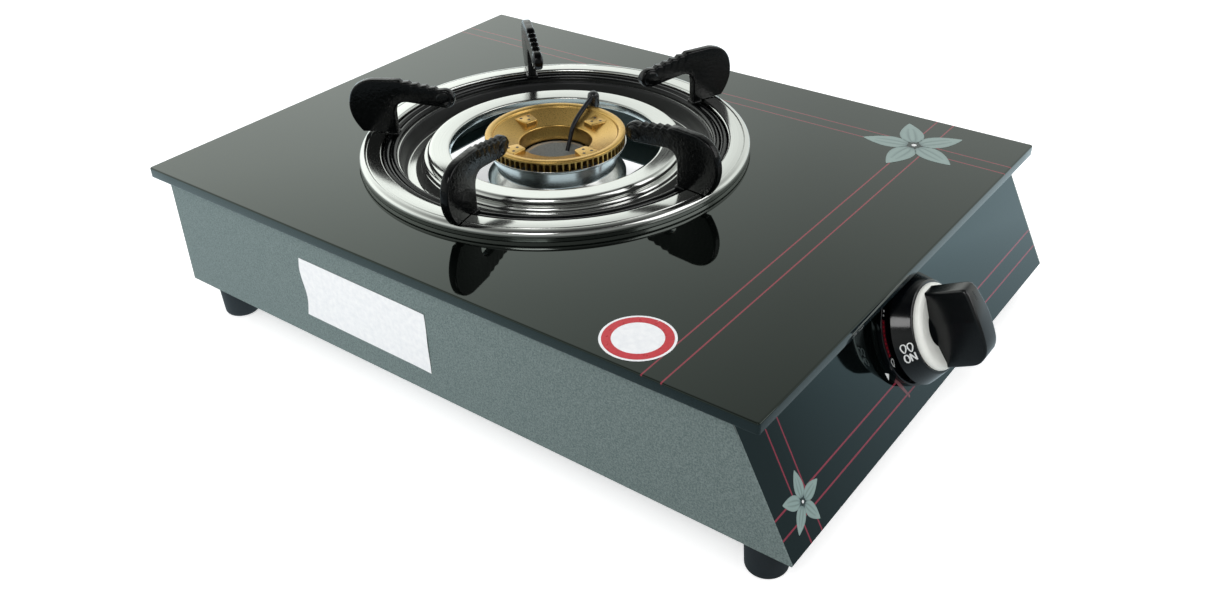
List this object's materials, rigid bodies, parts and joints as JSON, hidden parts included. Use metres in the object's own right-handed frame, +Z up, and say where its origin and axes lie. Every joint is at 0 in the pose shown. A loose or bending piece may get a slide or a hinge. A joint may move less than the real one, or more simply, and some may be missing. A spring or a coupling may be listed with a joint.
{
  "type": "single burner gas stove",
  "caption": "Table-top gas stove with a glass top, a brass burner, a pan support, a drip tray and a front knob.",
  "frame": {"origin": "under the middle of the whole stove, on the surface it stands on", "axes": "+Z up, +X to the right seen from the front, the knob faces -Y"},
  "size_m": [0.3, 0.4518, 0.127],
  "materials": {
    "glass": "gloss",
    "rubber": "matte",
    "body_paint": "satin",
    "front_paint": "gloss",
    "zinc": "satin",
    "cast_alloy": "matte",
    "bright_alloy": "satin",
    "brass": "satin",
    "spring_steel": "satin",
    "black_plastic": "gloss",
    "cream_plastic": "satin",
    "silicone": "matte",
    "ceramic": "satin",
    "stainless": "gloss",
    "enamel": "satin"
  },
  "bodies": {
    "stove": {"glass_top": "glass", "glass_gasket": "rubber", "foot_front_left": "rubber", "foot_front_right": "rubber", "foot_rear_left": "rubber", "foot_rear_right": "rubber", "left_side_panel": "body_paint", "right_side_panel": "body_paint", "rear_panel": "body_paint", "front_panel": "front_paint", "foot_screws": "zinc", "foot_nuts": "zinc", "burner_bridge": "zinc", "bridge_screws": "zinc", "burner_screws": "zinc", "valve_screws": "zinc", "gas_pipe": "zinc", "lead_clip": "zinc", "electrode_bracket": "zinc", "burner_base": "cast_alloy", "mixing_tube": "cast_alloy", "valve_body": "cast_alloy", "burner_cup": "bright_alloy", "burner_cap": "brass", "gas_injector": "brass", "hose_nipple": "brass", "nipple_nut": "brass", "return_spring": "spring_steel", "electrode_wire": "spring_steel", "piezo_igniter": "black_plastic", "knob_bezel": "black_plastic", "ignition_lead": "silicone", "electrode_insulator": "ceramic"},
    "push_washer": {"thrust_washer": "zinc"},
    "knob": {"valve_stem": "brass", "knob_skirt": "black_plastic", "knob_ring": "cream_plastic", "knob_grip": "black_plastic"},
    "tray": {"drip_tray": "stainless", "trim_ring": "stainless"},
    "pan_support": {"support_ring": "enamel", "prong_1": "enamel", "prong_2": "enamel", "prong_3": "enamel", "prong_4": "enamel", "prong_5": "enamel"},
    "shutter": {"air_shutter": "zinc"}
  },
  "joints": [
    {"name": "knob_push", "type": "slide", "parent": "stove", "child": "push_washer", "axis": [0, 0.8916, -0.4529], "range_m": [0, 0.0035], "stiffness_N_per_m": 900, "springref_m": -0.004, "deforming": ["return_spring"]},
    {"name": "knob_turn", "type": "hinge", "parent": "push_washer", "child": "knob", "pos_m": [-0.0065, -0.18446, 0.05276], "axis": [0, -0.8916, 0.4529], "range_deg": [0, 180]},
    {"name": "tray_lift", "type": "slide", "parent": "stove", "child": "tray", "axis": [0, 0, 1], "range_m": [0, 0.06]},
    {"name": "support_lift", "type": "slide", "parent": "tray", "child": "pan_support", "axis": [0, 0, 1], "range_m": [0, 0.06]},
    {"name": "shutter_turn", "type": "hinge", "parent": "stove", "child": "shutter", "pos_m": [-0.0065, -0.12, 0.056], "axis": [0, 1, 0], "range_deg": [-40, 40]}
  ]
}
